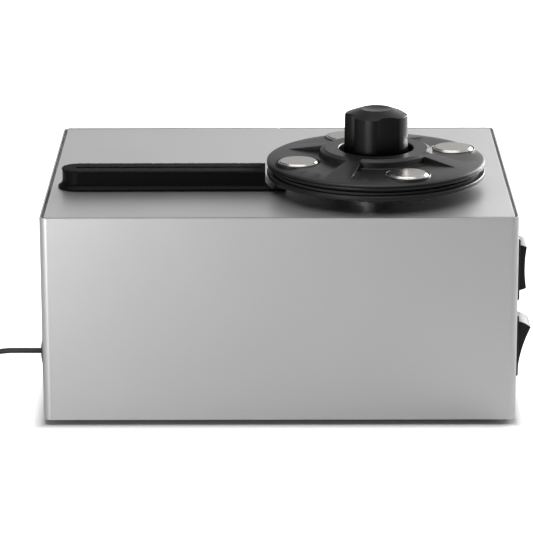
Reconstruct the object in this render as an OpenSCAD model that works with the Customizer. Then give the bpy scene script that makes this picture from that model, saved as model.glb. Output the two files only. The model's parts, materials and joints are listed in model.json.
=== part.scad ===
// Record cleaning machine: a folded sheet case with a suction bar on its top plate,
// a geared platter and a magnetic clamp that holds the record by its label.
// X runs to the right, Y to the back, Z up. The feet stand on z = 0.

/* [Case] */
// Width of the case across its front
case_w = 225; // [215:1:240]
// Depth of the case, front to back
case_d = 182; // [176:1:200]
// Height of the folded wrap
wrap_h = 99.5; // [98:0.5:110]
// Thickness of the composite sheet
sheet_t = 1.6; // [1.4:0.1:2]
// Outside radius of the four folded corners
corner_r = 3.7; // [3:0.1:6]
// Thickness of the top plate
plate_t = 3; // [2.5:0.5:3.5]
// Open line between the wrap and the top plate
plate_gap = 0.4; // [0.2:0.1:0.8]
// Thickness of the base plate
base_t = 2; // [1.5:0.5:3]
// Height of the rubber feet below the case
foot_h = 2.5; // [2:0.5:6]

/* [Suction bar] */
// Length of the bar's top
bar_l = 98.5; // [96:0.5:99]
// Width of the bar's top
bar_w = 15.9; // [14:0.1:16.5]
// Height of the bar over the deck, with its velvet
bar_h = 9.7; // [9.2:0.1:10]
// Thickness of the velvet
velvet_t = 0.8; // [0.5:0.1:1.2]
// Width of the suction slit
slit_w = 2; // [1.2:0.2:2.6]
// How far the foot of the bar stands out all round
lip_w = 2.1; // [1.5:0.1:2.5]

/* [Platter and clamp] */
// Distance of the spindle from the front of the case
spindle_front = 59.4; // [57:0.1:62]
// Distance of the spindle to the right of the case's middle
spindle_x = 47; // [46:0.5:49]
// Radius of the platter and of the clamp
disc_r = 52.9; // [52.6:0.1:53.4]
// Radius of the spindle, for a record's centre hole
spindle_r = 3.6; // [3.5:0.01:3.62]
// Radius of the clamp knob over its lobes
knob_r = 15.2; // [14:0.1:16]
// Height of the knob's top over the deck
knob_top = 38.9; // [37:0.1:42]
// Radius of each nickel plated magnet
magnet_r = 9.95; // [9:0.05:10]
// Distance of the magnets from the spindle
magnet_at = 40.3; // [40:0.1:40.8]
// Angle of the first magnet from the X axis
magnet_turn = 20; // [10:0.5:30]
// How far the clamp lifts off
clamp_lift = 40; // [30:1:60]

/* [Switches and lead] */
// Tilt of a rocker to either side
rocker_tilt = 16.5; // [12:0.5:18]
// Height of the upper switch over the bottom of the wrap
upper_switch_z = 69.8; // [66:0.1:72]
// Height of the lower switch over the bottom of the wrap
lower_switch_z = 31.9; // [28:0.1:34]
// Distance of both switches from the front of the case
switch_front = 27.5; // [25:0.5:40]
// Distance of the lead from the front of the case
lead_front = 26; // [22:1:40]
// Height of the lead over the bottom of the wrap
lead_z = 26.7; // [24:0.1:34]
// Diameter of the lead
lead_d = 2.6; // [2.4:0.1:3]

/* [Blower] */
// Radius of the impeller
impeller_r = 30; // [26:1:31]
// Number of blades on the impeller
blade_count = 11; // [7:1:13]

/* [Hidden] */
$fn = 64;

// Levels over the floor
deck = foot_h + wrap_h;
plate_low = deck - plate_t;
base_top = foot_h + base_t;

// Rear fittings and switches set how far the outline reaches past the wrap
grommet_out = 2.4;
rocker_reach = 11.45;
rocker_face = 5.2;
rocker_out = rocker_reach * cos(acos(rocker_face / rocker_reach) - rocker_tilt);
spigot_out = 10;
cap_out = 12.5;
shift_x = -(rocker_out - grommet_out) / 2;
shift_y = -cap_out / 2;

// The spindle, in the case's own plan
spin_x = spindle_x;
spin_y = -case_d / 2 + spindle_front;

// Post and foot places, in from the wrap's corner
post_in = 6.2;
post_a = 9;
screw_r = 2;
foot_in = 17;
foot_r = 9;

// Suction bar levels, from the deck
bar_body_h = bar_h - velvet_t;
bar_x1 = spin_x - disc_r - 0.8;
bar_x0 = bar_x1 - bar_l;
flare_top = 4.3;
flare_r = 3.4;
foot_lip_h = flare_top - sqrt(pow(flare_r, 2) - pow(flare_r - lip_w, 2));
ledge_end = bar_x1 + 10;
ledge_fillet = 4.7;
slit_x0 = bar_x0 + 6.5;
slit_x1 = bar_x1 - 2;
port_x = -57;
port_r = 6;
port_bore = 4.5;
bar_screw_x = [-96, bar_x1 - 4];

// Platter and clamp levels, from the deck
platter_low = 5.75;
platter_top = 8.55;
record_z = 9.6;
clamp_low = 11.25;
rim_top = 14.25;
rim_edge = 13.5;
groove_z = 12.7;
hub_top = 19.5;
hub_r = 24.8;
hub_foot_r = 27;
hub_foot_z = 18.45;
hub_hole_r = 18;
hub_floor = 13;
pocket_floor = 15.45;
pocket_r0 = 27.6;
pocket_r1 = 45.5;
spoke_a = 16.5;
cup_r = 11;
cup_top = 15.75;
magnet_low = 12.2;
magnet_top = 16.45;
spindle_top = record_z + 14.5;
shaft_r = 5;
running = 0.05;
bush_r = 6;
bush_top = 20.8;
magnet_angles = [for (k = [0:3]) magnet_turn + 90 * k];

// Bearings and drive, from the deck
bearing_r = 9.5;
bearing_h = 5;
housing_low = -30;
shaft_low = -42;
motor_r = 18.5;
gearbox_top = -46;
gearbox_h = 22;
drive_motor_h = 26;

// Waste tank
tank_x = -66;
tank_y = 34;
tank_w = 72;
tank_dp = 76;
tank_low = 7;
tank_h = 48;
tank_t = 2;
tank_top = tank_low + tank_h;
lid_t = 3;
tank_in_y = 20;
tank_out_x = -48;

// Blower
blower_x = 55;
blower_y = 42;
blower_low = 40;
blower_h = 24;
blower_t = 1.8;
blower_top = blower_low + blower_h;
volute_gap = 3;
volute_grow = 9;
outlet_w = 22;
eye_r = 11;

// Hoses
hose_r = 7;
hose_bore = 5.2;
nipple_r = hose_bore - 0.05;
nipple_bore = 3.6;
air_run_z = deck - 13;
air_bend = 14;

// Drain at the rear
drain_x = -66;
drain_z = 16;
spigot_r = 5;

// Switch sizes
bezel_h = 31;
bezel_w = 25;
bezel_t = 1.8;
rocker_w = 17.7;
well_r = rocker_reach + 0.4;
well_w = rocker_w + 0.8;
pivot_r = 1.5;
switch_y = -case_d / 2 + switch_front;
upper_z = foot_h + upper_switch_z;
lower_z = foot_h + lower_switch_z;

// Lead: out of the grommet, down to the floor and along it to the coil, in case plan
lead_y = -case_d / 2 + lead_front;
lead_exit_z = foot_h + lead_z;
lead_r = lead_d / 2;
lead_route = [
    [-114.9, -65, 29.2], [-120, -65, 29.2], [-126, -64.6, 29.1], [-132, -63.6, 28.6],
    [-138, -62.4, 27.2], [-144, -61.2, 24.4], [-149, -60.3, 20.2], [-153, -59.6, 15],
    [-157, -59, 9.6], [-161, -58.4, 5], [-166, -57.6, 2.3], [-172, -56.6, 1.4],
    [-178, -54.8, 1.3], [-183, -51, 1.3]
];
tail_route = [
    [-193, -32, 5.2], [-194.6, -26, 5.2], [-197.4, -20, 5.2], [-199, -14, 5.2]
];
coil_x = -173;
coil_y = -34;
coil_r = 15.5;
coil_turns = 4;
coil_a = coil_turns * lead_d;

// Basic shapes

module place() {
    translate([shift_x, shift_y, 0]) children();
}

module round_rect(w, d, r) {
    square([w - 2 * r, d], center = true);
    square([w, d - 2 * r], center = true);
    for (x = [-1, 1], y = [-1, 1])
        translate([x * (w / 2 - r), y * (d / 2 - r)]) circle(r);
}

module round_block(w, d, h, r) {
    linear_extrude(h) round_rect(w, d, r);
}

module ring(r_out, r_in, h) {
    difference() {
        cylinder(r = r_out, h = h);
        translate([0, 0, -1]) cylinder(r = r_in, h = h + 2);
    }
}

// A tube bent through a quarter turn: it starts along +Z at the origin and ends along +X
module quarter_tube(bend, r_out, r_in) {
    translate([bend, 0, 0]) rotate([90, 0, 180]) rotate_extrude(angle = 90)
        translate([bend, 0]) difference() {
            circle(r_out);
            circle(r_in);
        }
}

module at_corners(inset) {
    for (x = [-1, 1], y = [-1, 1])
        translate([x * (case_w / 2 - inset), y * (case_d / 2 - inset), 0]) children();
}

module at_spindle() {
    place() translate([spin_x, spin_y, deck]) children();
}

module at_magnets() {
    for (a = magnet_angles) rotate(a) translate([magnet_at, 0, 0]) children();
}

// Case

vent_w = 2.6;
vent_pitch = 4.4;
vent_count = 5;
vent_x = blower_x + impeller_r + volute_gap + volute_grow - outlet_w / 2;
vent_low = 42;
vent_h = 20;

module rear_vents() {
    for (i = [0:vent_count - 1])
        translate([vent_x + (i - (vent_count - 1) / 2) * vent_pitch, case_d / 2, vent_low]) {
            translate([-vent_w / 2, -5, vent_w / 2]) cube([vent_w, 10, vent_h - vent_w]);
            for (z = [vent_w / 2, vent_h - vent_w / 2])
                translate([0, 5, z]) rotate([90, 0, 0]) cylinder(d = vent_w, h = 10);
        }
}

module case_wrap() place() color("silver") difference() {
    translate([0, 0, foot_h]) round_block(case_w, case_d, wrap_h, corner_r);
    translate([0, 0, foot_h - 1])
        round_block(case_w - 2 * sheet_t, case_d - 2 * sheet_t, wrap_h + 2, corner_r - sheet_t);
    translate([-0.15, case_d / 2 - 4, foot_h - 1]) cube([0.3, 8, wrap_h + 2]);
    rear_vents();
    for (z = [upper_z, lower_z])
        translate([case_w / 2 - 4, switch_y - bezel_w / 2 + 2, z - bezel_h / 2 + 2])
            cube([8, bezel_w - 4, bezel_h - 4]);
    translate([-case_w / 2 - 4, lead_y, lead_exit_z]) rotate([0, 90, 0]) cylinder(r = 6.5, h = 8);
    translate([drain_x, case_d / 2 + 4, drain_z]) rotate([90, 0, 0]) cylinder(r = 6, h = 8);
}

module seam_strip() place() color("dimgray")
    translate([-9, case_d / 2 - sheet_t - 1.2, base_top + 1])
        cube([18, 1.2, plate_low - base_top - 2]);

module top_plate() place() color("silver") difference() {
    translate([0, 0, plate_low])
        round_block(case_w - 2 * (sheet_t + plate_gap), case_d - 2 * (sheet_t + plate_gap), plate_t, 1.7);
    translate([spin_x, spin_y, plate_low - 1]) cylinder(r = 15, h = plate_t + 2);
    translate([spin_x, spin_y, plate_low - 1]) for (a = [45:90:315])
        rotate(a) translate([18, 0, 0]) cylinder(r = 1.5, h = plate_t + 2);
    translate([spin_x, spin_y, plate_low - 1]) at_bracket_posts() cylinder(r = 1.5, h = 2);
    translate([port_x, spin_y, plate_low - 1]) cylinder(r = port_r + 0.3, h = plate_t + 2);
    for (x = bar_screw_x)
        translate([x, spin_y, plate_low - 1]) cylinder(r = 1.6, h = plate_t + 2);
    at_corners(sheet_t + post_in) translate([0, 0, plate_low - 1]) cylinder(r = screw_r, h = 3);
}

module base_plate() place() color("gray") difference() {
    translate([0, 0, foot_h])
        round_block(case_w - 2 * sheet_t - 0.6, case_d - 2 * sheet_t - 0.6, base_t, 1.7);
    at_corners(sheet_t + post_in) {
        translate([0, 0, foot_h - 1]) cylinder(r = screw_r + 0.2, h = base_t + 2);
        translate([0, 0, foot_h - 0.01]) cylinder(r1 = 4, r2 = screw_r + 0.2, h = 1.6);
    }
    at_corners(foot_in) translate([0, 0, foot_h - 1]) cylinder(r = 1.5, h = base_t + 2);
    for (i = [-4:4])
        translate([spin_x + i * 5, spin_y - 15, foot_h - 1]) {
            translate([-1.2, 0, 0]) cube([2.4, 30, base_t + 2]);
            for (y = [0, 30]) translate([0, y, 0]) cylinder(r = 1.2, h = base_t + 2);
        }
}

module corner_posts() place() color("lightgray") at_corners(sheet_t + post_in)
    translate([0, 0, base_top]) difference() {
        translate([-post_a / 2, -post_a / 2, 0]) cube([post_a, post_a, plate_low - base_top]);
        translate([0, 0, -1]) cylinder(r = screw_r + 0.2, h = wrap_h);
    }

module tie_screws() place() color("dimgray") at_corners(sheet_t + post_in)
    translate([0, 0, foot_h]) difference() {
        union() {
            cylinder(r1 = 3.9, r2 = screw_r, h = 1.6);
            cylinder(r = screw_r, h = wrap_h - plate_t + 2);
        }
        translate([0, 0, -0.01]) cylinder(r = 1.4, h = 1.2, $fn = 6);
    }

module foot(x, y) place() color("black")
    translate([x * (case_w / 2 - foot_in), y * (case_d / 2 - foot_in), 0]) difference() {
        rotate_extrude() polygon([
            [0, 0], [foot_r - 1.1, 0], [foot_r - 0.5, 0.3], [foot_r, foot_h], [0, foot_h]
        ]);
        translate([0, 0, -1]) cylinder(r = 1.5, h = foot_h + 2);
        translate([0, 0, -1]) cylinder(r = 3.4, h = 2);
    }

module foot_screws() place() color("dimgray") at_corners(foot_in) {
    translate([0, 0, 0.5]) cylinder(r = 2.9, h = 0.5);
    translate([0, 0, 1]) cylinder(r = 1.5, h = foot_h + base_t);
}

// Suction bar

module bar_section() {
    translate([-bar_w / 2, 0]) square([bar_w, bar_body_h]);
    difference() {
        translate([-bar_w / 2 - lip_w, 0]) square([bar_w + 2 * lip_w, flare_top]);
        for (s = [-1, 1]) translate([s * (bar_w / 2 + flare_r), flare_top]) circle(flare_r);
    }
}

module bar_end() {
    rotate(90) rotate_extrude(angle = 180) intersection() {
        bar_section();
        square([bar_w, bar_h]);
    }
}

// The low ledge that runs under the platter
module bar_ledge() intersection() {
    rotate([90, 0, 0]) linear_extrude(bar_w + 2 * lip_w, center = true) difference() {
        translate([bar_x1 - 1, 0]) square([ledge_end - bar_x1 + 1, foot_lip_h + ledge_fillet]);
        translate([bar_x1 + ledge_fillet, foot_lip_h + ledge_fillet]) circle(ledge_fillet);
        translate([bar_x1 + ledge_fillet, foot_lip_h]) square([20, 20]);
    }
    translate([bar_x1 - 2, 0, 0]) rotate([90, 0, 90]) linear_extrude(ledge_end - bar_x1 + 3) bar_section();
}

module suction_bar() place() color("#151515") translate([0, spin_y, deck]) difference() {
    union() {
        translate([bar_x0 + bar_w / 2, 0, 0]) {
            rotate([90, 0, 90]) linear_extrude(bar_l - bar_w / 2) bar_section();
            bar_end();
        }
        bar_ledge();
        translate([port_x, 0, -plate_t - 7]) cylinder(r = port_r, h = plate_t + 8);
    }
    translate([slit_x0, -slit_w / 2, 4.6]) cube([slit_x1 - slit_x0, slit_w, bar_h]);
    translate([-91, -3, 2]) cube([74, 6, 4]);
    translate([port_x, 0, -20]) cylinder(r = port_bore, h = 24);
    translate([port_x, 0, -0.01]) ring(8.6, 7, 1);
    for (x = bar_screw_x) translate([x, 0, -1]) cylinder(r = 1.3, h = 5);
}

module velvet_pad() place() color("#0d0d0d") translate([0, spin_y, deck + bar_body_h]) difference() {
    union() {
        translate([bar_x0 + bar_w / 2, 0, 0]) cylinder(r = bar_w / 2 + 0.3, h = velvet_t);
        translate([bar_x0 + bar_w / 2, -bar_w / 2 - 0.3, 0])
            cube([bar_l - bar_w / 2, bar_w + 0.6, velvet_t]);
    }
    translate([slit_x0, -slit_w / 2, -1]) cube([slit_x1 - slit_x0, slit_w, velvet_t + 2]);
}

module bar_seal() place() color("black") translate([port_x, spin_y, deck + 0.45])
    rotate_extrude() translate([7.8, 0]) circle(0.45);

module bar_screws() place() color("gray") for (x = bar_screw_x)
    translate([x, spin_y, plate_low]) {
        translate([0, 0, -1.8]) cylinder(r = 2.8, h = 1.8);
        cylinder(r = 1.3, h = plate_t + 3.6);
    }

// Hoses and tank

elbow_bend = 12;

module suction_elbow() place() color("#222222")
    translate([port_x, spin_y, plate_low - 7]) rotate([180, 0, 90]) {
        translate([0, 0, -6]) ring(port_r + 2, port_r, 6);
        ring(port_r + 2, port_bore, 2);
        translate([0, 0, 2]) quarter_tube(elbow_bend, port_r, port_bore);
        translate([elbow_bend, 0, 2 + elbow_bend]) rotate([0, 90, 0]) {
            ring(port_r, nipple_bore, 3);
            ring(nipple_r, nipple_bore, 12);
        }
    }

elbow_out_y = spin_y + elbow_bend;
elbow_out_z = plate_low - 9 - elbow_bend;
hose_bend = 14;

module suction_hose() place() color("#dddddd") translate([port_x, elbow_out_y + 3, elbow_out_z]) {
    rotate([-90, 0, 0]) ring(hose_r, hose_bore, tank_in_y - elbow_out_y - 3 - hose_bend);
    translate([0, tank_in_y - elbow_out_y - 3, -hose_bend]) rotate(-90)
        quarter_tube(hose_bend, hose_r, hose_bore);
    translate([0, tank_in_y - elbow_out_y - 3, tank_top + lid_t - elbow_out_z])
        ring(hose_r, hose_bore, elbow_out_z - hose_bend - tank_top - lid_t);
}

module waste_tank() place() color("ghostwhite") translate([tank_x, tank_y, tank_low]) difference() {
    union() {
        round_block(tank_w, tank_dp, tank_h, 8);
        translate([drain_x - tank_x, tank_dp / 2 - 1, drain_z - tank_low]) rotate([-90, 0, 0])
            cylinder(r = 4, h = 8);
    }
    translate([0, 0, tank_t]) round_block(tank_w - 2 * tank_t, tank_dp - 2 * tank_t, tank_h, 6);
    translate([drain_x - tank_x, tank_dp / 2 - 4, drain_z - tank_low]) rotate([-90, 0, 0])
        cylinder(r = 2.5, h = 14);
}

module tank_lid() place() color("#333333") translate([tank_x, tank_y, tank_top]) difference() {
    union() {
        round_block(tank_w + 3, tank_dp + 3, lid_t, 9);
        translate([0, 0, -4]) round_block(tank_w - 2 * tank_t - 0.2, tank_dp - 2 * tank_t - 0.2, 5, 5.9);
        translate([port_x - tank_x, tank_in_y - tank_y, -20]) cylinder(r = nipple_r, h = lid_t + 25.5);
        translate([tank_out_x - tank_x, blower_y - tank_y, 0]) cylinder(r = nipple_r, h = lid_t + 10);
    }
    translate([port_x - tank_x, tank_in_y - tank_y, -30]) cylinder(r = nipple_bore, h = 60);
    translate([tank_out_x - tank_x, blower_y - tank_y, -30]) cylinder(r = nipple_bore, h = 60);
}

module air_hose() place() color("#dddddd") {
    translate([tank_out_x, blower_y, tank_top + lid_t]) {
        rise = air_run_z - air_bend - tank_top - lid_t;
        ring(hose_r, hose_bore, rise);
        translate([0, 0, rise]) quarter_tube(air_bend, hose_r, hose_bore);
    }
    translate([tank_out_x + air_bend, blower_y, air_run_z]) rotate([0, 90, 0])
        ring(hose_r, hose_bore, blower_x - tank_out_x - 2 * air_bend);
    translate([blower_x, blower_y, air_run_z - air_bend]) rotate(180)
        quarter_tube(air_bend, hose_r, hose_bore);
    translate([blower_x, blower_y, blower_top + 2])
        ring(hose_r, hose_bore, air_run_z - air_bend - blower_top - 2);
}

module drain_spigot() place() color("#1c1c1c") translate([drain_x, case_d / 2, drain_z])
    rotate([-90, 0, 0]) difference() {
        union() {
            cylinder(r = spigot_r, h = spigot_out);
            cylinder(r = 9, h = 2.4);
            translate([0, 0, -sheet_t]) cylinder(r = 5.95, h = sheet_t + 1);
            translate([0, 0, -sheet_t - 3]) cylinder(r = 9, h = 3, $fn = 6);
            translate([0, 0, -sheet_t - 10]) cylinder(r = 4, h = 12);
        }
        translate([0, 0, -20]) cylinder(r = 2.5, h = 40);
    }

module drain_hose() place() color("#dddddd")
    translate([drain_x, tank_y + tank_dp / 2, drain_z]) rotate([-90, 0, 0])
        ring(5.6, 4, case_d / 2 - sheet_t - 3 - tank_y - tank_dp / 2);

module drain_cap() place() color("#101010") translate([drain_x, case_d / 2 + 2.7, drain_z])
    rotate([-90, 0, 0]) difference() {
        union() {
            cylinder(r = 8, h = cap_out - 3.5);
            cylinder(r = 7.2, h = cap_out - 2.7);
        }
        translate([0, 0, -1]) cylinder(r = spigot_r + running, h = spigot_out - 1.5);
        for (a = [0:20:340])
            rotate(a) translate([8.3, 0, -1]) cylinder(r = 0.7, h = 20, $fn = 16);
    }

// Blower: a scroll whose wall moves out evenly from the tongue to the outlet
tongue_a = 60;
outlet_l = case_d / 2 - sheet_t - 0.5 - blower_y;

function scroll_r(a) = impeller_r + volute_gap + volute_grow * (a - tongue_a) / (360 - tongue_a);

module scroll_outline(wall, over = 0) {
    polygon([for (a = [tongue_a:12:360]) (scroll_r(a) + wall) * [cos(a), sin(a)]]);
    circle(impeller_r + volute_gap + wall);
    translate([scroll_r(360) - outlet_w - wall, 0]) square([outlet_w + 2 * wall, outlet_l + over]);
}

module blower_housing() place() color("#262626") translate([blower_x, blower_y, blower_low]) {
    difference() {
        linear_extrude(blower_h) scroll_outline(blower_t);
        translate([0, 0, blower_t]) linear_extrude(blower_h) scroll_outline(0, 2);
        translate([0, 0, -1]) cylinder(r = 4, h = 10);
    }
    for (a = [100, 180, 260, 320])
        rotate(a) translate([scroll_r(a) + 3.4, 0, base_top - blower_low])
            cylinder(r = 3.4, h = blower_low - base_top + 8);
}

module blower_cover() place() color("#303030") translate([blower_x, blower_y, blower_top]) difference() {
    union() {
        linear_extrude(2) scroll_outline(blower_t);
        cylinder(r = nipple_r, h = 12);
        for (a = [0:45:315]) rotate(a) translate([10, -0.8, 0]) cube([20, 1.6, 3.2]);
    }
    translate([0, 0, -1]) cylinder(r = nipple_bore, h = 20);
    translate([0, 0, -1]) cylinder(r1 = eye_r, r2 = nipple_bore, h = 2);
}

module blower_motor() place() color("silver") translate([blower_x, blower_y, 0]) difference() {
    union() {
        translate([0, 0, base_top]) cylinder(r = 8, h = 3);
        translate([0, 0, base_top + 3]) cylinder(r = 18, h = blower_low - base_top - 3);
        translate([0, 0, blower_low]) cylinder(r = 3.9, h = 1.5);
    }
    translate([0, 0, blower_low - 12]) cylinder(r = 1.5, h = 30);
    for (a = [0:60:300])
        rotate(a) translate([18, 0, base_top + 8]) rotate([0, 90, 0])
            translate([0, 0, -1.5]) cylinder(r = 2.4, h = 4);
}

// One blade: a thin arc that leans back from the hub to the rim
blade_r = 22;

module blade() {
    intersection() {
        translate([13, -12.5, 0]) ring(blade_r, blade_r - 1.1, 14);
        translate([8, 0, 0]) cube([impeller_r, impeller_r, 14]);
        ring(impeller_r - 0.4, 8, 14);
    }
}

module blower_impeller() place() color("#d8d8d0")
    translate([blower_x, blower_y, blower_low + blower_t + 1.2]) difference() {
        union() {
            cylinder(r = impeller_r, h = 1.6);
            for (k = [0:blade_count - 1]) rotate(k * 360 / blade_count) blade();
            rotate_extrude() polygon([
                [0, 0], [9.4, 0], [9.4, 3], [7, 6], [4.6, 8.4], [3.4, 11], [0, 11]
            ]);
        }
        translate([0, 0, -5]) cylinder(r = 1.4, h = 13);
    }

// Bearing housing, shaft and drive, from the deck at the spindle

module bearing_housing() at_spindle() color("lightgray") difference() {
    union() {
        cylinder(r = 21, h = 2);
        cylinder(r1 = 15.5, r2 = 14, h = 2.8);
        translate([0, 0, housing_low]) cylinder(r = 14.8, h = -housing_low + 1);
    }
    translate([0, 0, housing_low - 1]) cylinder(r = 8, h = 60);
    translate([0, 0, -bearing_h - 0.6]) cylinder(r = bearing_r, h = 10);
    translate([0, 0, housing_low - 1]) cylinder(r = bearing_r, h = bearing_h + 1);
    for (a = [45:90:315]) rotate(a) translate([18, 0, -1]) {
        cylinder(r = 1.5, h = 10);
        translate([0, 0, 1.35]) cylinder(r1 = 1.5, r2 = 3, h = 1.66);
    }
}

// Countersunk screws that hold the housing to the deck, and those that hold the drive below it
module deck_screws() at_spindle() color("gray") {
    for (a = [45:90:315]) rotate(a) translate([18, 0, -plate_t]) {
        cylinder(r = 1.45, h = plate_t + 1);
        translate([0, 0, plate_t + 0.4]) cylinder(r1 = 1.45, r2 = 2.85, h = 1.6);
    }
    at_bracket_posts() translate([0, 0, -plate_t - 6]) cylinder(r = 1.45, h = plate_t + 4);
}

module at_bracket_posts() {
    for (x = [-1, 1], y = [-1, 1]) translate([x * 23.5, y * 23.5, 0]) children();
}

module bearing() difference() {
    ring(bearing_r, shaft_r + running, bearing_h);
    for (z = [-1, bearing_h - 0.3]) translate([0, 0, z]) ring(8.1, 6.3, 1.3);
}

module bearing_upper() at_spindle() color("lightsteelblue")
    translate([0, 0, -bearing_h - 0.6]) bearing();

module bearing_lower() at_spindle() color("lightsteelblue")
    translate([0, 0, housing_low]) bearing();

module shaft_seal() at_spindle() color("#202020") difference() {
    translate([0, 0, -0.6]) ring(bearing_r, shaft_r + running, 3);
    translate([0, 0, 1.4]) ring(8.2, 6.2, 2);
}

module spindle() at_spindle() color("silver") rotate_extrude() polygon([
    [0, shaft_low], [2.6, shaft_low], [2.95, shaft_low + 0.4], [2.95, housing_low - 0.4],
    [shaft_r, housing_low], [shaft_r, 3.2], [12, 3.2], [12, platter_low],
    [shaft_r - 0.05, platter_low], [shaft_r - 0.05, platter_top],
    [spindle_r, platter_top + 0.8], [spindle_r, spindle_top - 2.4], [spindle_r - 1.2, spindle_top - 0.6],
    [spindle_r - 2.4, spindle_top], [0, spindle_top]
]);

module platter_disc() at_spindle() color("#1a1a1a") difference() {
    union() {
        rotate_extrude() polygon([
            [shaft_r, platter_low], [disc_r - 0.9, platter_low], [disc_r - 0.3, platter_low + 0.4],
            [disc_r, platter_low + 0.9], [disc_r, platter_top - 0.5], [disc_r - 0.5, platter_top],
            [shaft_r, platter_top]
        ]);
        at_magnets() translate([0, 0, platter_low - 1.4]) cylinder(r1 = 10.8, r2 = cup_r + 0.4, h = 1.6);
    }
    at_magnets() translate([0, 0, platter_low - 0.6]) cylinder(r = magnet_r, h = 5);
    for (a = [0:90:270])
        rotate(a + magnet_turn + 45) translate([9, 0, 0]) cylinder(r = 1.3, h = 20);
}

module platter_magnets() at_spindle() color("silver") at_magnets()
    translate([0, 0, platter_low - 0.6]) cylinder(r = magnet_r, h = platter_top - platter_low + 0.6);

module platter_pad() at_spindle() color("#0c0c0c") difference() {
    translate([0, 0, platter_top]) ring(50.2, shaft_r + 0.4, record_z - platter_top);
    for (r = [16, 24, 32, 40, 46])
        translate([0, 0, record_z - 0.4]) ring(r + 0.5, r - 0.5, 1);
}

module shaft_coupling() at_spindle() color("lightgray") difference() {
    translate([0, 0, gearbox_top + 3]) cylinder(r = 9, h = housing_low - gearbox_top - 5);
    translate([0, 0, shaft_low]) cylinder(r = 3, h = 20);
    translate([0, 0, gearbox_top]) cylinder(r = 2.9, h = 6);
    for (z = [gearbox_top + 6.2, gearbox_top + 9.6])
        translate([0, 0, z]) ring(10, 5, 0.9);
}

module gearbox() at_spindle() color("silver") translate([0, 0, gearbox_top]) {
    translate([0, 0, -gearbox_h]) cylinder(r = motor_r, h = gearbox_h);
    cylinder(r = 2.8, h = 3.6);
}

module drive_motor() at_spindle() color("dimgray")
    translate([0, 0, gearbox_top - gearbox_h - drive_motor_h]) {
        cylinder(r = 6, h = 3);
        translate([0, 0, 2]) ring(motor_r - 1, 5.5, drive_motor_h - 4);
        translate([0, 0, 1.6]) cylinder(r = motor_r - 1.6, h = 2);
        translate([0, 0, drive_motor_h - 2.4]) cylinder(r = motor_r - 2, h = 2.4);
    }

module motor_bracket() at_spindle() color("darkgray") {
    translate([0, 0, gearbox_top]) difference() {
        translate([-27, -27, 0]) cube([54, 54, 2]);
        translate([0, 0, -1]) cylinder(r = 10, h = 5);
    }
    at_bracket_posts() translate([0, 0, gearbox_top + 2]) difference() {
        cylinder(r = 3.4, h = -plate_t - gearbox_top - 2);
        translate([0, 0, -plate_t - gearbox_top - 10]) cylinder(r = 1.5, h = 10);
    }
}

// Electronics

board_w = 68;
board_d = 42;
board_x = -64;
board_y = -50;
board_z = base_top + 8;

module at_board_corners() {
    for (x = [-1, 1], y = [-1, 1])
        translate([board_x + x * (board_w / 2 - 4), board_y + y * (board_d / 2 - 4), 0]) children();
}

module control_board() place() color("#1d5c34") difference() {
    translate([board_x, board_y, board_z]) round_block(board_w, board_d, 1.6, 2);
    at_board_corners() translate([0, 0, board_z - 1]) cylinder(r = 1.6, h = 4);
}

module board_components() place() color("#2b2b2b") translate([board_x, board_y, board_z + 1.6]) {
    for (x = [-14, 8]) translate([x, 2, 0]) round_block(16, 12, 14, 0.8);
    for (x = [-26, 24]) translate([x, -8, 0]) cylinder(r = 5, h = 16);
    translate([0, -15, 0]) difference() {
        round_block(36, 8, 10, 0.6);
        for (i = [-3:3]) translate([i * 5, -2, 4]) cylinder(r = 1.6, h = 10);
    }
    translate([-26, 8, 0]) for (i = [0:4]) translate([0, i * 2 - 4, 0]) cube([9, 1, 12]);
}

module board_standoffs() place() color("goldenrod") at_board_corners() {
    translate([0, 0, base_top]) cylinder(r = 3, h = board_z - base_top, $fn = 6);
    translate([0, 0, board_z]) cylinder(r = 1.5, h = 2.6);
    translate([0, 0, board_z + 1.6]) cylinder(r = 2.7, h = 1.6);
}

// Rocker switches: a bezel and well in the side of the case, and a rocker on two stub pivots

module at_switch(z) {
    place() translate([case_w / 2, switch_y, z]) children();
}

module switch_body(z) at_switch(z) color("#141414") difference() {
    union() {
        difference() {
            rotate([90, 0, 90]) round_block(bezel_w, bezel_h, bezel_t, 1.2);
            for (s = [-1, 1])
                translate([bezel_t, 0, s * bezel_h / 2]) rotate([0, 45, 0])
                    cube([1.2, bezel_w + 2, 1.2], center = true);
        }
        translate([-well_r - 3, -bezel_w / 2 + 2.1, -bezel_h / 2 + 2.1])
            cube([well_r + 4, bezel_w - 4.2, bezel_h - 4.2]);
    }
    rotate([90, 0, 0]) cylinder(r = well_r, h = well_w, center = true);
    rotate([90, 0, 0]) cylinder(r = pivot_r + running, h = well_w + 2.4, center = true);
}

module rocker(z, tilt) at_switch(z) color("#1b1b1b") rotate([0, tilt, 0]) {
    difference() {
        rotate([90, 0, 0]) cylinder(r = rocker_reach, h = rocker_w, center = true);
        translate([66, 0, 0]) rotate([90, 0, 0]) cylinder(r = 61.6, h = 40, center = true, $fn = 128);
        translate([rocker_face, -20, -20]) cube([20, 40, 40]);
        translate([-22, -20, -20]) cube([17, 40, 40]);
    }
    rotate([90, 0, 0]) cylinder(r = pivot_r, h = rocker_w + 2.2, center = true);
}

module rotation_switch() switch_body(upper_z);
module rotation_rocker() rocker(upper_z, 0);
module pump_switch() switch_body(lower_z);
module pump_rocker() rocker(lower_z, rocker_tilt);

module switch_terminals() color("gold") for (z = [upper_z, lower_z]) at_switch(z)
    for (y = [-6, 6], dz = (z == upper_z ? [-9, 0, 9] : [-9, 9]))
        translate([-well_r - 3 - 9, y - 0.4, dz - 3.15]) difference() {
            cube([9, 0.8, 6.3]);
            translate([2.6, -1, 3.15]) rotate([-90, 0, 0]) cylinder(r = 0.9, h = 3);
        }

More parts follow.
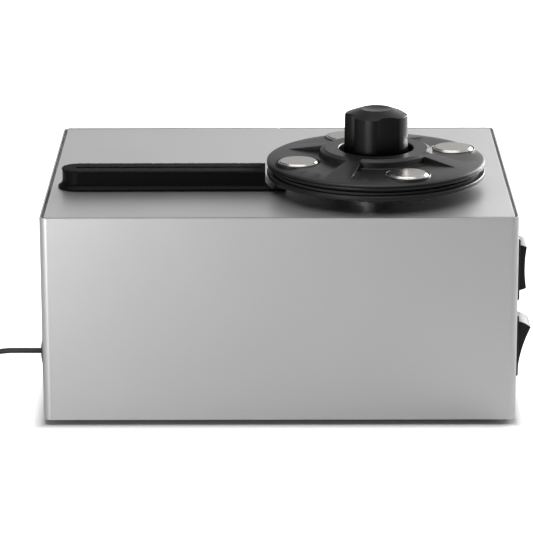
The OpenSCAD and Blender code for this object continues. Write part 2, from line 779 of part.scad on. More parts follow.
// Clamp: a shallow cone with four sunk pockets between spokes, four magnet cups and a hub ring

module clamp_blank() {
    rotate_extrude($fn = 128) polygon([
        [bush_r, clamp_low], [disc_r - 0.4, clamp_low], [disc_r, clamp_low + 0.4],
        [disc_r, groove_z - 0.2], [disc_r - 0.4, groove_z - 0.12], [disc_r - 0.4, groove_z + 0.12],
        [disc_r, groove_z + 0.2], [disc_r, rim_edge], [disc_r - 1.3, rim_top],
        [hub_foot_r, hub_foot_z], [hub_r, hub_top], [bush_r, hub_top]
    ]);
}

// The wall behind a pocket leans back a little and ends in a small fillet
module pocket_cut() {
    translate([0, 0, pocket_floor]) rotate(-45 + spoke_a / 2)
        rotate_extrude(angle = 90 - spoke_a, $fn = 128) polygon([
            [pocket_r0 + 0.5, 0], [pocket_r1, 0], [pocket_r1, 6], [pocket_r0 - 1.1, 6],
            [pocket_r0, 0.5], [pocket_r0 + 0.15, 0.15]
        ]);
}

module clamp_disc() at_spindle() color("#2a2a2c") difference() {
    union() {
        difference() {
            clamp_blank();
            for (a = magnet_angles) rotate(a) pocket_cut();
        }
        at_magnets() rotate_extrude() polygon([
            [0, clamp_low + 1], [cup_r, clamp_low + 1], [cup_r, cup_top - 0.4], [cup_r - 0.4, cup_top], [0, cup_top]
        ]);
    }
    at_magnets() translate([0, 0, magnet_low]) cylinder(r = magnet_r + 0.3, h = 10);
    translate([0, 0, hub_floor]) cylinder(r = hub_hole_r, h = 20);
    translate([0, 0, hub_top - 0.5]) cylinder(r1 = hub_hole_r, r2 = hub_hole_r + 0.6, h = 0.6);
    translate([0, 0, clamp_low - 1]) ring(49, 44.4, 1.6);
    for (a = [0:120:240]) rotate(a) translate([10, 0, clamp_low - 1]) cylinder(r = 1.4, h = 5);
}

module clamp_seal() at_spindle() color("#0c0c0c") rotate_extrude($fn = 128) polygon([
    [44.5, record_z + 0.9], [45.2, record_z + 0.06], [48.2, record_z + 0.06], [48.9, record_z + 0.9],
    [48.9, clamp_low + 0.6], [44.5, clamp_low + 0.6]
]);

module clamp_magnet(k) at_spindle() color("#c9c5bd") rotate(magnet_turn + 90 * k)
    translate([magnet_at, 0, 0]) rotate_extrude() polygon([
        [0, magnet_low], [magnet_r - 0.4, magnet_low], [magnet_r, magnet_low + 0.4],
        [magnet_r, magnet_top - 0.9], [magnet_r - 0.35, magnet_top - 0.55], [magnet_r - 0.75, magnet_top - 0.5],
        [magnet_r - 1.3, magnet_top], [0, magnet_top]
    ]);

// The knob turns in plan between four lobes and four finger scallops
scallop_r = 16.8;
scallop_at = 29.8;
scallop_turn = 292;
knob_wall_top = knob_top - 2.9;
dish_r = 7.25;
dish_sag = 0.9;

module clamp_knob() at_spindle() color("#0e0e0e") difference() {
    rotate_extrude($fn = 128) polygon([
        [0, hub_floor], [knob_r + 0.3, hub_floor], [knob_r, knob_wall_top],
        [dish_r + 0.3, knob_top - 0.1], [dish_r - 0.2, knob_top], [0, knob_top]
    ]);
    for (k = [0:3])
        rotate(scallop_turn + 90 * k) translate([scallop_at, 0, hub_floor - 1])
            cylinder(r = scallop_r, h = 40, $fn = 128);
    translate([0, 0, knob_top - dish_sag]) rotate_extrude() intersection() {
        translate([0, 29.65]) circle(29.65, $fn = 256);
        square([dish_r, 5]);
    }
    translate([0, 0, hub_floor - 1]) cylinder(r = bush_r, h = bush_top - hub_floor + 1);
    cylinder(r = spindle_r + 0.2, h = spindle_top + 2);
    for (a = [0:120:240]) rotate(a) translate([10, 0, hub_floor - 1]) cylinder(r = 1.1, h = 9);
}

module clamp_bush() at_spindle() color("goldenrod")
    translate([0, 0, clamp_low]) ring(bush_r, spindle_r + running, bush_top - clamp_low);

// Lead and plug

module cord_grommet() place() color("#161616")
    translate([-case_w / 2, lead_y, lead_exit_z]) rotate([0, -90, 0]) difference() {
        union() {
            rotate_extrude() intersection() {
                translate([0, -24.1]) circle(26.5, $fn = 256);
                square([9, 4]);
            }
            translate([0, 0, -sheet_t]) cylinder(r = 6.5, h = sheet_t + 0.2);
            translate([0, 0, -sheet_t - 1.6]) cylinder(r = 8, h = 1.6);
        }
        translate([0, 0, -10]) cylinder(r = lead_r, h = 20);
    }

// A tube with eight sides swept along a list of points
tube_sides = 8;

function unit(v) = v / norm(v);

function heading(path, i) =
    unit(path[min(i + 1, len(path) - 1)] - path[max(i - 1, 0)]);

// A smooth curve through the route's own points
function smooth(p, i, t) =
    let (a = p[max(i - 1, 0)], b = p[i], c = p[i + 1], d = p[min(i + 2, len(p) - 1)])
        0.5 * (2 * b + (c - a) * t + (2 * a - 5 * b + 4 * c - d) * t ^ 2 + (3 * b - a - 3 * c + d) * t ^ 3);

function smooth_path(p, steps) = concat(
    [for (i = [0:len(p) - 2], s = [0:steps - 1]) smooth(p, i, s / steps)],
    [p[len(p) - 1]]
);

module tube(path, r) {
    rings = len(path);
    points = [
        for (i = [0:rings - 1])
            let (
                h = heading(path, i),
                side = unit(cross(h, [0.05, 0.1, 1])),
                top = cross(side, h)
            )
                for (k = [0:tube_sides - 1])
                    let (a = (k + 0.5) * 360 / tube_sides)
                        path[i] + r * (cos(a) * side + sin(a) * top)
    ];
    walls = [
        for (i = [0:rings - 2], k = [0:tube_sides - 1])
            let (n = (k + 1) % tube_sides, b = i * tube_sides)
                [b + k, b + n, b + n + tube_sides, b + k + tube_sides]
    ];
    ends = [
        [for (k = [tube_sides - 1:-1:0]) k],
        [for (k = [0:tube_sides - 1]) (rings - 1) * tube_sides + k]
    ];
    polyhedron(points, concat(walls, ends), convexity = 4);
}

module power_lead() place() color("#111111") {
    tube(smooth_path(lead_route, 3), lead_r);
    tube(smooth_path(tail_route, 2), lead_r);
}

module power_lead_coil() place() color("#111111") translate([coil_x, coil_y, 0])
    rotate_extrude() translate([coil_r - coil_a / 2, 0]) square([coil_a, coil_a]);

plug_r = 5.2;
plug_body_l = 15;
plug_relief_l = 9;
plug_barrel_l = 9.5;

module power_plug() place() color("#0f0f0f") translate(tail_route[len(tail_route) - 1]) rotate([-90, 0, 0]) {
    cylinder(r1 = 2, r2 = 3.6, h = plug_relief_l);
    translate([0, 0, plug_relief_l]) cylinder(r = plug_r, h = plug_body_l);
    translate([0, 0, plug_relief_l + plug_body_l]) ring(2.75, 1.2, plug_barrel_l);
}

case_wrap();
seam_strip();
top_plate();
base_plate();
corner_posts();
tie_screws();
foot(-1, -1);  // foot_front_left
foot(1, -1);  // foot_front_right
foot(-1, 1);  // foot_rear_left
foot(1, 1);  // foot_rear_right
foot_screws();
suction_bar();
velvet_pad();
bar_seal();
bar_screws();
suction_elbow();
suction_hose();
waste_tank();
tank_lid();
air_hose();
drain_spigot();
drain_hose();
drain_cap();
blower_housing();
blower_cover();
blower_motor();
blower_impeller();
bearing_housing();
bearing_upper();
bearing_lower();
shaft_seal();
deck_screws();
spindle();
platter_disc();
platter_pad();
platter_magnets();
shaft_coupling();
gearbox();
drive_motor();
motor_bracket();
control_board();
board_components();
board_standoffs();
rotation_switch();
rotation_rocker();
pump_switch();
pump_rocker();
switch_terminals();
clamp_disc();
clamp_seal();
clamp_knob();
clamp_bush();
clamp_magnet(0);  // clamp_magnet_right
clamp_magnet(1);  // clamp_magnet_rear
clamp_magnet(2);  // clamp_magnet_left
clamp_magnet(3);  // clamp_magnet_front
cord_grommet();
power_lead();
power_lead_coil();
power_plug();
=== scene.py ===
import json
import math

import bpy
from mathutils import Matrix, Vector

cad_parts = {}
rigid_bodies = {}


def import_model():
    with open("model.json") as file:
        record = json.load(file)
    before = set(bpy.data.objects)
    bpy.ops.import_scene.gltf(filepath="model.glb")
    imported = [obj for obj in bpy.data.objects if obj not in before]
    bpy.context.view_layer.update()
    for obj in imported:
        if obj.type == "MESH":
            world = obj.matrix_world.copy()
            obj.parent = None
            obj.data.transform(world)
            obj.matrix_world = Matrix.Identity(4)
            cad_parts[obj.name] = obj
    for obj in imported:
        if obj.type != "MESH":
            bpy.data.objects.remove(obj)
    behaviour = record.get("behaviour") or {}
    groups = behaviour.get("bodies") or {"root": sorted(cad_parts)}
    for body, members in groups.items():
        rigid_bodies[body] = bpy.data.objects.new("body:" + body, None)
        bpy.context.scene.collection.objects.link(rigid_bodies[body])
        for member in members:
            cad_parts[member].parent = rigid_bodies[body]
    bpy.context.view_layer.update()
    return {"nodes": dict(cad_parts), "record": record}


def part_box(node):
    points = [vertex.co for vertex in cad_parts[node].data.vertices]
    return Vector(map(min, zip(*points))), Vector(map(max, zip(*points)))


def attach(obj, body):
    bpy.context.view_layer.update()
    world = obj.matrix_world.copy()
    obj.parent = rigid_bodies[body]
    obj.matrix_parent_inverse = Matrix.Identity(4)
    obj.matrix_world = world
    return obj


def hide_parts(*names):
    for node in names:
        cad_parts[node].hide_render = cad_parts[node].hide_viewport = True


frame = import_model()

mm = 0.001
cadNodes = frame["nodes"]
record = frame["record"]
bodyOfNode = {
    node: body
    for body, members in record["behaviour"]["bodies"].items()
    for node in members
}
slotOfNode = {row["node"]: row["material_slot"] for row in record["subparts"]}

# Places that several pieces share, read from the frame
caseLow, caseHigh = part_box("case_wrap")
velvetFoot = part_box("velvet_pad")[0][2]
caseMiddle = (Vector(caseLow) + Vector(caseHigh)) / 2


# Camera: stands 1.47 m in front of the machine and looks down on it
camera = {
    "lens": 206.39,
    "sensor": 36.0,
    "near": 0.1,
    "far": 20,
    "fromMiddle": (-0.00077, -1.46964, 0.47272),   # from the case's middle, over its lower edge
    "turn": 0.2175,                                # degrees to the left
    "down": 16.051,
    "roll": -0.17,
}


def makeCamera():
    data = bpy.data.cameras.new("camera")
    data.lens = camera["lens"]
    data.sensor_width = camera["sensor"]
    data.clip_start = camera["near"]
    data.clip_end = camera["far"]
    eye = bpy.data.objects.new("camera", data)
    bpy.context.collection.objects.link(eye)
    x, y, z = camera["fromMiddle"]
    place = Matrix.Translation((caseMiddle.x + x, caseMiddle.y + y, caseLow[2] + z))
    turn = Matrix.Rotation(math.radians(camera["turn"]), 4, "Z")
    tilt = Matrix.Rotation(math.radians(90 - camera["down"]), 4, "X")
    roll = Matrix.Rotation(math.radians(camera["roll"]), 4, "Z")
    eye.matrix_world = place @ turn @ tilt @ roll
    bpy.context.scene.camera = eye


makeCamera()
print("camera placed")


# Shader maths: a wire is one output socket, and sums and products of wires add Math nodes
class Wire:
    def __init__(self, paint, socket):
        self.paint = paint
        self.socket = socket

    def calc(self, operation, a, b=0.0):
        return self.paint.add("ShaderNodeMath", {"operation": operation}, {0: a, 1: b})

    def __add__(self, other):
        return self.calc("ADD", self, other)

    def __radd__(self, other):
        return self.calc("ADD", other, self)

    def __sub__(self, other):
        return self.calc("SUBTRACT", self, other)

    def __rsub__(self, other):
        return self.calc("SUBTRACT", other, self)

    def __mul__(self, other):
        return self.calc("MULTIPLY", self, other)

    def __rmul__(self, other):
        return self.calc("MULTIPLY", other, self)

    def __truediv__(self, other):
        return self.calc("DIVIDE", self, other)

    def __pow__(self, other):
        return self.calc("POWER", self, other)

    def __gt__(self, other):
        return self.calc("GREATER_THAN", self, other)

    def __lt__(self, other):
        return self.calc("LESS_THAN", self, other)

    def __abs__(self):
        return self.calc("ABSOLUTE", self)

    def most(self, other):
        return self.calc("MAXIMUM", self, other)

    def least(self, other):
        return self.calc("MINIMUM", self, other)


# The nodes of one material, or of the world
class Paint:
    def __init__(self, name, owner=None):
        self.owner = owner or bpy.data.materials.new(name)
        self.owner.use_nodes = True
        self.tree = self.owner.node_tree
        self.tree.nodes.clear()

    def add(self, kind, settings=None, inputs=None, output=0):
        node = self.tree.nodes.new(kind)
        for key, value in (settings or {}).items():
            setattr(node, key, value)
        for key, value in (inputs or {}).items():
            self.plug(node.inputs[key], value)
        return Wire(self, node.outputs[output]) if node.outputs else None

    def plug(self, socket, value):
        if isinstance(value, Wire):
            self.tree.links.new(value.socket, socket)
        elif socket.type == "RGBA":
            socket.default_value = tuple(value)[:3] + (1.0,)
        else:
            socket.default_value = value

    def point(self):
        return self.add("ShaderNodeTexCoord", output=3)      # Object coordinates

    def split(self, vector):
        node = self.tree.nodes.new("ShaderNodeSeparateXYZ")
        self.plug(node.inputs[0], vector)
        return [Wire(self, node.outputs[k]) for k in range(3)]

    def noise(self, scale, detail=2.0, roughness=0.5, where=None):
        vector = where or self.point()
        inputs = {"Vector": vector, "Scale": scale, "Detail": detail, "Roughness": roughness}
        return self.add("ShaderNodeTexNoise", None, inputs)

    def colour(self, red, green, blue):
        return self.add("ShaderNodeCombineColor", None, {0: red, 1: green, 2: blue})

    def blend(self, factor, a, b):
        settings = {"data_type": "RGBA"}
        return self.add("ShaderNodeMix", settings, {0: factor, 6: a, 7: b}, output=2)

    def bump(self, height, distance, strength=1.0):
        inputs = {"Height": height, "Distance": distance, "Strength": strength}
        return self.add("ShaderNodeBump", None, inputs)

    def surface(self, **sockets):
        names = {
            "base": "Base Color", "rough": "Roughness", "metal": "Metallic", "normal": "Normal",
            "sheen": "Sheen Weight", "sheenRough": "Sheen Roughness", "specular": "Specular IOR Level",
        }
        inputs = {names[key]: value for key, value in sockets.items()}
        shader = self.add("ShaderNodeBsdfPrincipled", None, inputs)
        self.add("ShaderNodeOutputMaterial", None, {"Surface": shader})
        return self.owner


def grey(value):
    return (value, value, value)


# Finishes. A grain's size is its noise scale, and its relief is in metres
satin = {
    "tone": 0.62,
    "green": 1.005,          # a touch greener than grey
    "rough": 0.42,
    "grainSize": 1500,       # the blasted surface
    "grain": 0.05,
    "grainRough": 0.12,
    "cloudSize": 28,         # slow changes over a sheet
    "cloud": 0.02,
    "cloudRough": 0.05,
    "relief": 0.00002,
    "coreTone": 0.012,
    "coreRough": 0.2,
}


def satinAluminium(name, cutEdge=False):
    paint = Paint(name)
    grain = paint.noise(satin["grainSize"], detail=3, roughness=0.6)
    cloud = paint.noise(satin["cloudSize"], detail=2)
    shade = satin["tone"] * (1 + (grain - 0.5) * satin["grain"] + (cloud - 0.5) * satin["cloud"])
    base = paint.colour(shade, shade * satin["green"], shade)
    rough = satin["rough"] + (grain - 0.5) * satin["grainRough"] + (cloud - 0.5) * satin["cloudRough"]
    metal = 1.0
    if cutEdge:
        core = coreMask(paint)
        base = paint.blend(core, base, grey(satin["coreTone"]))
        rough = rough + core * satin["coreRough"]
        metal = 1 - core
    normal = paint.bump(grain, satin["relief"], 0.6)
    return paint.surface(base=base, rough=rough, metal=metal, normal=normal)


# The sheet's dark core shows on its cut edges, inside the bright outer skin
wrap = {
    "thickness": 1.6 * mm,
    "skin": 0.75 * mm,
    "cornerRadius": 3.7 * mm,
    "margin": 0.1 * mm,          # past the inner face
    "upright": 0.75,             # how level a cut edge is
}


def coreMask(paint):
    x, y, z = paint.split(paint.point())
    radius = wrap["cornerRadius"]
    halfX = (caseHigh[0] - caseLow[0]) / 2 - radius
    halfY = (caseHigh[1] - caseLow[1]) / 2 - radius
    qx = abs(x - caseMiddle.x) - halfX
    qy = abs(y - caseMiddle.y) - halfY
    outside = (qx.most(0) ** 2 + qy.most(0) ** 2) ** 0.5
    depth = radius - outside - qx.most(qy).least(0)     # how far in from the outer skin
    inCore = (depth > wrap["skin"]) * (depth < wrap["thickness"] + wrap["margin"])
    faces = paint.add("ShaderNodeNewGeometry", None, None, output=1)
    nx, ny, nz = paint.split(faces)
    return inCore * (abs(nz) > wrap["upright"])


plastic = {"grainSize": 2600, "cloudSize": 45, "cloud": 0.25, "blue": 1.03, "cloudRough": 0.06}


def mouldedPlastic(name, tone, rough, relief=0.000018, spread=0.10, specular=0.5):
    paint = Paint(name)
    grain = paint.noise(plastic["grainSize"], detail=2)
    cloud = paint.noise(plastic["cloudSize"], detail=3, roughness=0.6)
    shade = tone * (1 + (cloud - 0.5) * plastic["cloud"])
    base = paint.colour(shade, shade, shade * plastic["blue"])
    roughness = rough + (grain - 0.5) * spread + (cloud - 0.5) * plastic["cloudRough"]
    return paint.surface(base=base, rough=roughness, normal=paint.bump(grain, relief, 0.5), specular=specular)


nickel = {
    "dark": (0.26, 0.245, 0.225),
    "bright": (0.56, 0.54, 0.51),
    "rough": 0.24,
    "speckSize": 2400,
    "speckRough": 0.22,
    "cloudSize": 170,
    "cloudRough": 0.1,
    "relief": 0.00001,
}


def nickelPlate(name):
    paint = Paint(name)
    speck = paint.noise(nickel["speckSize"], detail=4, roughness=0.7)
    cloud = paint.noise(nickel["cloudSize"], detail=3)
    base = paint.blend(speck, nickel["dark"], nickel["bright"])
    rough = nickel["rough"] + (speck - 0.5) * nickel["speckRough"] + (cloud - 0.5) * nickel["cloudRough"]
    return paint.surface(base=base, rough=rough, metal=1.0, normal=paint.bump(speck, nickel["relief"], 0.6))


metalGrain = {"size": 900, "dark": 0.86, "bright": 1.1, "rough": 0.14, "relief": 0.00001}


def plainMetal(name, colour, rough):
    paint = Paint(name)
    grain = paint.noise(metalGrain["size"], detail=3)
    dark = [metalGrain["dark"] * c for c in colour]
    bright = [min(1, metalGrain["bright"] * c) for c in colour]
    base = paint.blend(grain, dark, bright)
    roughness = rough + (grain - 0.5) * metalGrain["rough"]
    normal = paint.bump(grain, metalGrain["relief"], 0.4)
    return paint.surface(base=base, rough=roughness, metal=1.0, normal=normal)


rubber = {"grainSize": 1800, "grainRough": 0.12, "dustSize": 60, "dustLow": 0.85, "dust": 0.4, "relief": 0.00003}


def softRubber(name, tone=0.018, rough=0.62):
    paint = Paint(name)
    grain = paint.noise(rubber["grainSize"], detail=3)
    dust = paint.noise(rubber["dustSize"], detail=4, roughness=0.7)
    shade = tone * (rubber["dustLow"] + dust * rubber["dust"])
    base = paint.colour(shade, shade, shade)
    roughness = rough + (grain - 0.5) * rubber["grainRough"]
    return paint.surface(base=base, rough=roughness, normal=paint.bump(grain, rubber["relief"], 0.5))


pileFinish = {
    "pileSize": 2200,
    "swirlSize": 120,        # where the pile was brushed
    "swirlLow": 0.6,
    "swirl": 0.8,
    "dark": 0.003,
    "bright": 0.018,
    "rough": 0.92,
    "relief": 0.0002,
}


def velvetPile(name):
    paint = Paint(name)
    pile = paint.noise(pileFinish["pileSize"], detail=3, roughness=0.7)
    swirl = paint.noise(pileFinish["swirlSize"], detail=3)
    share = pile * (pileFinish["swirlLow"] + pileFinish["swirl"] * swirl)
    base = paint.blend(share, grey(pileFinish["dark"]), grey(pileFinish["bright"]))
    normal = paint.bump(pile, pileFinish["relief"], 0.8)
    return paint.surface(base=base, rough=pileFinish["rough"], normal=normal,
                         sheen=0.06, sheenRough=0.5, specular=0.05)


milky = {"cloudSize": 50, "dark": 0.9, "rough": 0.4, "cloudRough": 0.1}


def milkyPlastic(name, tint):
    paint = Paint(name)
    cloud = paint.noise(milky["cloudSize"], detail=3)
    base = paint.blend(cloud, [milky["dark"] * c for c in tint], tint)
    return paint.surface(base=base, rough=milky["rough"] + (cloud - 0.5) * milky["cloudRough"])


board = {
    "dark": (0.012, 0.075, 0.03),
    "bright": (0.03, 0.16, 0.07),
    "track": (0.06, 0.24, 0.11),
    "weaveSize": 1400,
    "weave": 0.5,
    "trackSize": 130.0,
    "trackShare": 0.18,
    "rough": 0.34,
    "weaveRough": 0.1,
}


def boardGreen(name):
    paint = Paint(name)
    weave = paint.noise(board["weaveSize"], detail=2)
    inputs = {"Vector": paint.point(), "Scale": board["trackSize"]}
    track = paint.add("ShaderNodeTexBrick", {"offset": 0.37}, inputs)
    base = paint.blend(weave * board["weave"], board["dark"], board["bright"])
    base = paint.blend(track * board["trackShare"], base, board["track"])
    return paint.surface(base=base, rough=board["rough"] + weave * board["weaveRough"])


finishes = {
    "satin_sheet": satinAluminium("satinSheet", cutEdge=True),
    "satin_plate": satinAluminium("satinPlate"),
    "grey_plate": mouldedPlastic("greyPlate", 0.16, 0.5),
    "bare_aluminium": plainMetal("bareAluminium", (0.72, 0.73, 0.74), 0.32),
    "zinc_steel": plainMetal("zincSteel", (0.58, 0.58, 0.57), 0.3),
    "polished_steel": plainMetal("polishedSteel", (0.7, 0.7, 0.7), 0.16),
    "nickel_plate": nickelPlate("nickelPlate"),
    "black_bar": mouldedPlastic("blackBar", 0.003, 0.42, specular=0.08),
    "black_velvet": velvetPile("blackVelvet"),
    "black_rubber": softRubber("blackRubber"),
    "black_plastic": mouldedPlastic("blackPlastic", 0.02, 0.42),
    "moulded_black": mouldedPlastic("mouldedBlack", 0.01, 0.36, specular=0.3),
    "knob_black": mouldedPlastic("knobBlack", 0.004, 0.25, spread=0.05, relief=0.000008, specular=0.2),
    "switch_black": mouldedPlastic("switchBlack", 0.008, 0.36, specular=0.3),
    "milky_plastic": milkyPlastic("milkyPlastic", (0.78, 0.78, 0.75)),
    "pale_plastic": milkyPlastic("palePlastic", (0.72, 0.72, 0.66)),
    "clear_hose": milkyPlastic("clearHose", (0.7, 0.7, 0.68)),
    "board_green": boardGreen("boardGreen"),
    "brass_parts": plainMetal("brassParts", (0.78, 0.58, 0.28), 0.3),
    "black_lead": softRubber("blackLead", tone=0.01, rough=0.45),
}


def dress(piece, slotName):
    piece.data.materials.clear()
    piece.data.materials.append(finishes[slotName])


for nodeName, node in cadNodes.items():
    dress(node, slotOfNode[nodeName])
print("finishes on", len(cadNodes), "nodes")


# Modelling by operators
def selectOnly(piece):
    bpy.ops.object.select_all(action="DESELECT")
    piece.select_set(True)
    bpy.context.view_layer.objects.active = piece


def applyModifiers(piece):
    selectOnly(piece)
    for modifier in list(piece.modifiers):
        bpy.ops.object.modifier_apply(modifier=modifier.name)


edges = {
    "weld": 0.002 * mm,      # points nearer than this are one
    "flat": 0.4,             # degrees up to which two faces are one
    "sharp": 30,             # degrees past which an edge is broken
    "smooth": 32,            # degrees up to which a corner is shaded round
    "segments": 2,
}


def bevelEdges(piece, width):
    bevel = piece.modifiers.new("bevel", "BEVEL")
    bevel.width = width
    bevel.segments = edges["segments"]
    bevel.limit_method = "ANGLE"
    bevel.angle_limit = math.radians(edges["sharp"])
    bevel.use_clamp_overlap = False
    bevel.loop_slide = True


# A copy of a node's solid, merged into clean faces and with its hard edges broken
def softened(nodeName, name, width):
    selectOnly(cadNodes[nodeName])
    bpy.ops.object.duplicate()
    piece = bpy.context.active_object
    bpy.ops.object.parent_clear(type="CLEAR_KEEP_TRANSFORM")
    piece.name = name
    piece.data.name = name
    bpy.ops.object.mode_set(mode="EDIT")
    bpy.ops.mesh.select_all(action="SELECT")
    bpy.ops.mesh.remove_doubles(threshold=edges["weld"])
    bpy.ops.mesh.dissolve_limited(angle_limit=math.radians(edges["flat"]))
    bpy.ops.object.mode_set(mode="OBJECT")
    bevelEdges(piece, width)
    applyModifiers(piece)
    bpy.ops.object.shade_smooth_by_angle(angle=math.radians(edges["smooth"]))
    weighted = piece.modifiers.new("weighted", "WEIGHTED_NORMAL")
    weighted.mode = "FACE_AREA"
    weighted.keep_sharp = True
    applyModifiers(piece)
    dress(piece, slotOfNode[nodeName])
    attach(piece, bodyOfNode[nodeName])
    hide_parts(nodeName)
    return piece


# Names of the pieces, and how wide their broken edges are, in mm
softEdges = {
    "case_wrap": ("wrapSheet", 0.28),
    "top_plate": ("deckPlate", 0.22),
    "suction_bar": ("barBody", 0.3),
    "platter_disc": ("platterPlate", 0.15),
    "clamp_disc": ("clampBody", 0.2),
    "clamp_knob": ("knobBody", 0.35),
    "clamp_magnet_right": ("magnetRight", 0.12),
    "clamp_magnet_rear": ("magnetRear", 0.12),
    "clamp_magnet_left": ("magnetLeft", 0.12),
    "clamp_magnet_front": ("magnetFront", 0.12),
    "rotation_switch": ("upperBezel", 0.25),
    "pump_switch": ("lowerBezel", 0.25),
    "rotation_rocker": ("upperRocker", 0.4),
    "pump_rocker": ("lowerRocker", 0.4),
    "drain_spigot": ("drainSpigot", 0.3),
    "drain_cap": ("drainCap", 0.2),
    "base_plate": ("basePlate", 0.2),
}
for nodeName, (pieceName, width) in softEdges.items():
    softened(nodeName, pieceName, width * mm)
print("edges broken on", len(softEdges), "pieces")


# Velvet: the pad's solid drawn over with small cells, each moved a little, so that it stands as a short pile
velvet = {
    "edge": 0.25 * mm,
    "cell": 0.36 * mm,
    "fuzz": 0.13 * mm,       # how far a point of the pile moves
    "even": 0.35,            # share of that the same for all points
    "outward": 0.65,         # share of that along the surface's normal
    "backing": 0.3 * mm,     # the lowest part has no pile
    "seed": 7,
}


def makeVelvet():
    pad = softened("velvet_pad", "velvetPile", velvet["edge"])
    cells = pad.modifiers.new("cells", "REMESH")
    cells.mode = "VOXEL"
    cells.voxel_size = velvet["cell"]
    cells.use_smooth_shade = True
    applyModifiers(pad)
    bpy.ops.object.mode_set(mode="EDIT")
    bpy.ops.mesh.select_all(action="DESELECT")
    bpy.ops.object.mode_set(mode="OBJECT")
    for vertex in pad.data.vertices:
        vertex.select = vertex.co.z > velvetFoot + velvet["backing"]
    bpy.ops.object.mode_set(mode="EDIT")
    bpy.ops.mesh.select_mode(type="VERT")
    bpy.ops.transform.vertex_random(
        offset=velvet["fuzz"], uniform=velvet["even"], normal=velvet["outward"], seed=velvet["seed"])
    bpy.ops.object.mode_set(mode="OBJECT")


makeVelvet()
print("velvet made")


# Lead: the same route as the solids, then turns that stack into the coil. Places are in mm, in the case's plan
lead = {
    "radius": 1.3 * mm,
    "route": [
        (-114.9, -65, 29.2), (-120, -65, 29.2), (-126, -64.6, 29.1), (-132, -63.6, 28.6),
        (-138, -62.4, 27.2), (-144, -61.2, 24.4), (-149, -60.3, 20.2), (-153, -59.6, 15),
        (-157, -59, 9.6), (-161, -58.4, 5), (-166, -57.6, 2.3), (-172, -56.6, 1.4),
        (-178, -54.8, 1.3), (-183, -51, 1.3),
    ],
    "tail": [(-193, -32, 5.2), (-194.6, -26, 5.2), (-197.4, -20, 5.2), (-199, -14, 5.2)],
    "coilMiddle": (-173, -34),
    "coilRadius": 15.5,
    "across": 4,                # turns across and up
    "startAngle": -120.5,       # degrees, where the route meets the coil
    "endAngle": -150.0,         # degrees, where the tail leaves it
    "pointsPerTurn": 16,
    "changeOver": 55.0,         # degrees in which a turn moves over to the next place
    "changeBefore": 40,         # degrees by which that is early, on the first turn
    "changeStep": 42,           # and after each corner of the stack, so that the humps spread out
    "roundness": 3,
    "smoothness": 3,
}


# Places of the turns: in along the floor, then up and down in columns, ending outside
def coilPlaces():
    last = lead["across"] - 1
    places = [(ring, 0) for ring in range(last, -1, -1)]
    for ring in range(lead["across"]):
        layers = range(1, last + 1) if ring % 2 == 0 else range(last, 0, -1)
        places += [(ring, layer) for layer in layers]
    return places[:-1]


# How many corners the stack has had before each change of place
def cornersBefore(places):
    corners = [0]
    for before, here, after in zip(places, places[1:], places[2:]):
        straight = (here[0] - before[0], here[1] - before[1]) == (after[0] - here[0], after[1] - here[1])
        corners.append(corners[-1] + (0 if straight else 1))
    return corners


def coilPoints():
    places = coilPlaces()
    corners = cornersBefore(places)
    diameter = 2 * lead["radius"] / mm
    cx, cy = lead["coilMiddle"]
    total = 360 * (len(places) - 1) + lead["startAngle"] - lead["endAngle"]
    points = []
    steps = int(total / 360 * lead["pointsPerTurn"])
    for step in range(1, steps + 1):
        swept = total * step / steps
        moved = 0.0
        for k in range(len(places) - 1):
            middle = 360 * (k + 1) - lead["changeBefore"] - lead["changeStep"] * corners[k]
            part = (swept - middle) / lead["changeOver"] + 0.5
            part = min(max(part, 0.0), 1.0)
            moved += part * part * (3 - 2 * part)
        low = min(int(moved), len(places) - 2)
        share = moved - low
        ring = places[low][0] * (1 - share) + places[low + 1][0] * share
        layer = places[low][1] * (1 - share) + places[low + 1][1] * share
        radius = lead["coilRadius"] + (ring - (lead["across"] - 1) / 2) * diameter
        angle = math.radians(lead["startAngle"] - swept)
        points.append((cx + radius * math.cos(angle), cy + radius * math.sin(angle), (layer + 0.5) * diameter))
    return points


def makeLead():
    points = lead["route"] + coilPoints() + lead["tail"]
    placed = [Vector((x * mm + caseMiddle.x, y * mm + caseMiddle.y, z * mm)) for x, y, z in points]
    curve = bpy.data.curves.new("powerLead", "CURVE")
    curve.dimensions = "3D"
    curve.bevel_depth = lead["radius"]
    curve.bevel_resolution = lead["roundness"]
    curve.resolution_u = lead["smoothness"]
    curve.use_fill_caps = True
    line = curve.splines.new("BEZIER")
    line.bezier_points.add(len(placed) - 1)
    for knot, place in zip(line.bezier_points, placed):
        knot.co = place
        knot.handle_left_type = "AUTO"
        knot.handle_right_type = "AUTO"
    cord = bpy.data.objects.new("powerLead", curve)
    bpy.context.collection.objects.link(cord)
    curve.materials.append(finishes["black_lead"])
    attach(cord, "case")
    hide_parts("power_lead", "power_lead_coil")
    length = sum((b - a).length for a, b in zip(placed, placed[1:]))
    print("lead points", len(placed), "length about", round(length, 3), "m")
    return cord, placed[0]


leadCord, leadExit = makeLead()
print("lead made")


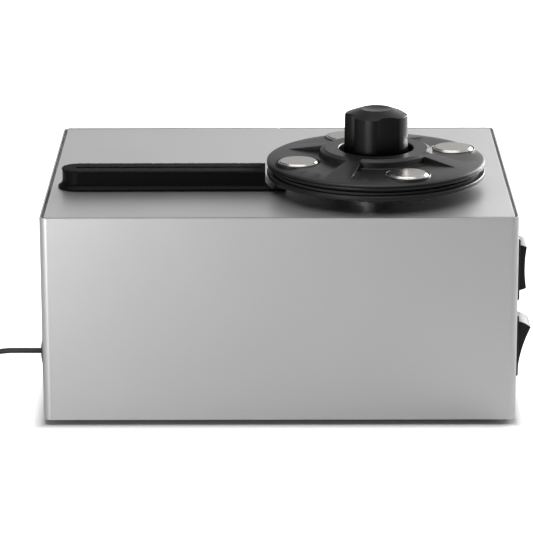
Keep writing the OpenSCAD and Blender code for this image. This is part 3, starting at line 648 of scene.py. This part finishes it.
# Studio: soft lamps, a white sweep for what the camera sees with a painted shadow round the case, and a darker
# room for what gloss sees
lamps = {
    "overhead": {"at": (-0.1, -0.1, 1.5), "aim": (0, 0, 0.05), "size": (1.3, 1.3), "watts": 14.0},
    "frontLow": {"at": (-0.42, -0.8, 0.1), "aim": (-0.1, -0.09, 0.05), "size": (0.3, 0.18), "watts": 2.0},
    "leftNear": {"at": (-0.55, -0.4, 0.25), "aim": (-0.1, -0.09, 0.05), "size": (0.3, 0.4), "watts": 0.5},
    "rearNear": {"at": (0.5, 0.55, 0.3), "aim": (0.1, 0, 0.1), "size": (0.5, 0.3), "watts": 2.6},
    "rearRight": {"at": (0.9, 0.9, 0.45), "aim": (0.05, 0, 0.1), "size": (0.9, 0.5), "watts": 11.0},
}
studio = {
    "matt": 0.1,             # the room's light on matt surfaces
    "gloss": 0.06,           # and what gloss sees of it all round
    "glossRight": 2.5,       # more of it from the rear right
    "glossLeft": 0.1,        # and from the front left
    "glossMost": 0.9,        # never brighter than a white wall
    "floorSize": 8,
    "floorTone": 0.8,
    "floorLift": 0.9,        # what makes the floor white to the camera
    "floorGloss": 0.0,       # and to gloss
    "paintedShadeReach": 9 * mm,       # reach of the painted contact shadow round the case: the floor's glow fades to nothing under the case and out to this distance from its outline
}


def makeLamp(name, at, aim, size, watts):
    light = bpy.data.lights.new(name, "AREA")
    light.shape = "RECTANGLE"
    light.energy = watts
    light.size, light.size_y = size
    lamp = bpy.data.objects.new(name, light)
    lamp.location = at
    lamp.rotation_euler = (Vector(aim) - Vector(at)).to_track_quat("-Z", "Y").to_euler()
    bpy.context.collection.objects.link(lamp)


def rayKinds(paint):
    rays = paint.tree.nodes.new("ShaderNodeLightPath")
    kinds = ("Is Camera Ray", "Is Glossy Ray", "Is Transmission Ray")
    return [Wire(paint, rays.outputs[kind]) for kind in kinds]


def makeWorld():
    world = bpy.data.worlds.new("studio")
    bpy.context.scene.world = world
    paint = Paint("studio", world)
    seen, gloss, through = rayKinds(paint)
    x, y, z = paint.split(paint.add("ShaderNodeTexCoord", output=0))      # the ray's direction
    right = ((1 + x) / 2) ** 2 * ((1 + y) / 2)
    left = ((1 - x) / 2) ** 2 * ((1 - y) / 2)
    room = studio["gloss"] + studio["glossRight"] * right + studio["glossLeft"] * left
    room = room.least(studio["glossMost"])
    matt = studio["matt"]
    strength = matt + seen.most(through) * (1 - matt) + gloss * (room - matt)
    back = paint.add("ShaderNodeBackground", None, {"Color": grey(1.0), "Strength": strength})
    paint.add("ShaderNodeOutputWorld", None, {"Surface": back})


def makeFloor():
    bpy.ops.object.select_all(action="DESELECT")
    bpy.ops.mesh.primitive_plane_add(size=studio["floorSize"], location=(0, 0, 0))
    floor = bpy.context.active_object
    floor.name = "studioFloor"
    paint = Paint("floorWhite")
    seen, gloss, through = rayKinds(paint)
    x, y, z = paint.split(paint.point())
    # Painted shadow: the glow that makes the floor white fades out by distance from the case's outline and is
    # gone under the case, so the floor there is darker whatever the lamps do
    qx = abs(x - caseMiddle.x) - (caseHigh[0] - caseLow[0]) / 2
    qy = abs(y - caseMiddle.y) - (caseHigh[1] - caseLow[1]) / 2
    clearOfPaintedShade = (qx.most(0) ** 2 + qy.most(0) ** 2) ** 0.5 / studio["paintedShadeReach"]
    lift = seen.most(through) * studio["floorLift"] + gloss * studio["floorGloss"]
    matt = paint.add("ShaderNodeBsdfDiffuse", None, {"Color": grey(studio["floorTone"])})
    glow = paint.add("ShaderNodeEmission", None, {"Color": grey(1.0), "Strength": lift * clearOfPaintedShade.least(1)})
    both = paint.add("ShaderNodeAddShader", None, {0: matt, 1: glow})
    paint.add("ShaderNodeOutputMaterial", None, {"Surface": both})
    floor.data.materials.append(paint.owner)


makeWorld()
makeFloor()
for name, lamp in lamps.items():
    makeLamp(name, **lamp)
bpy.context.scene.view_settings.view_transform = "Standard"
print("studio lit")
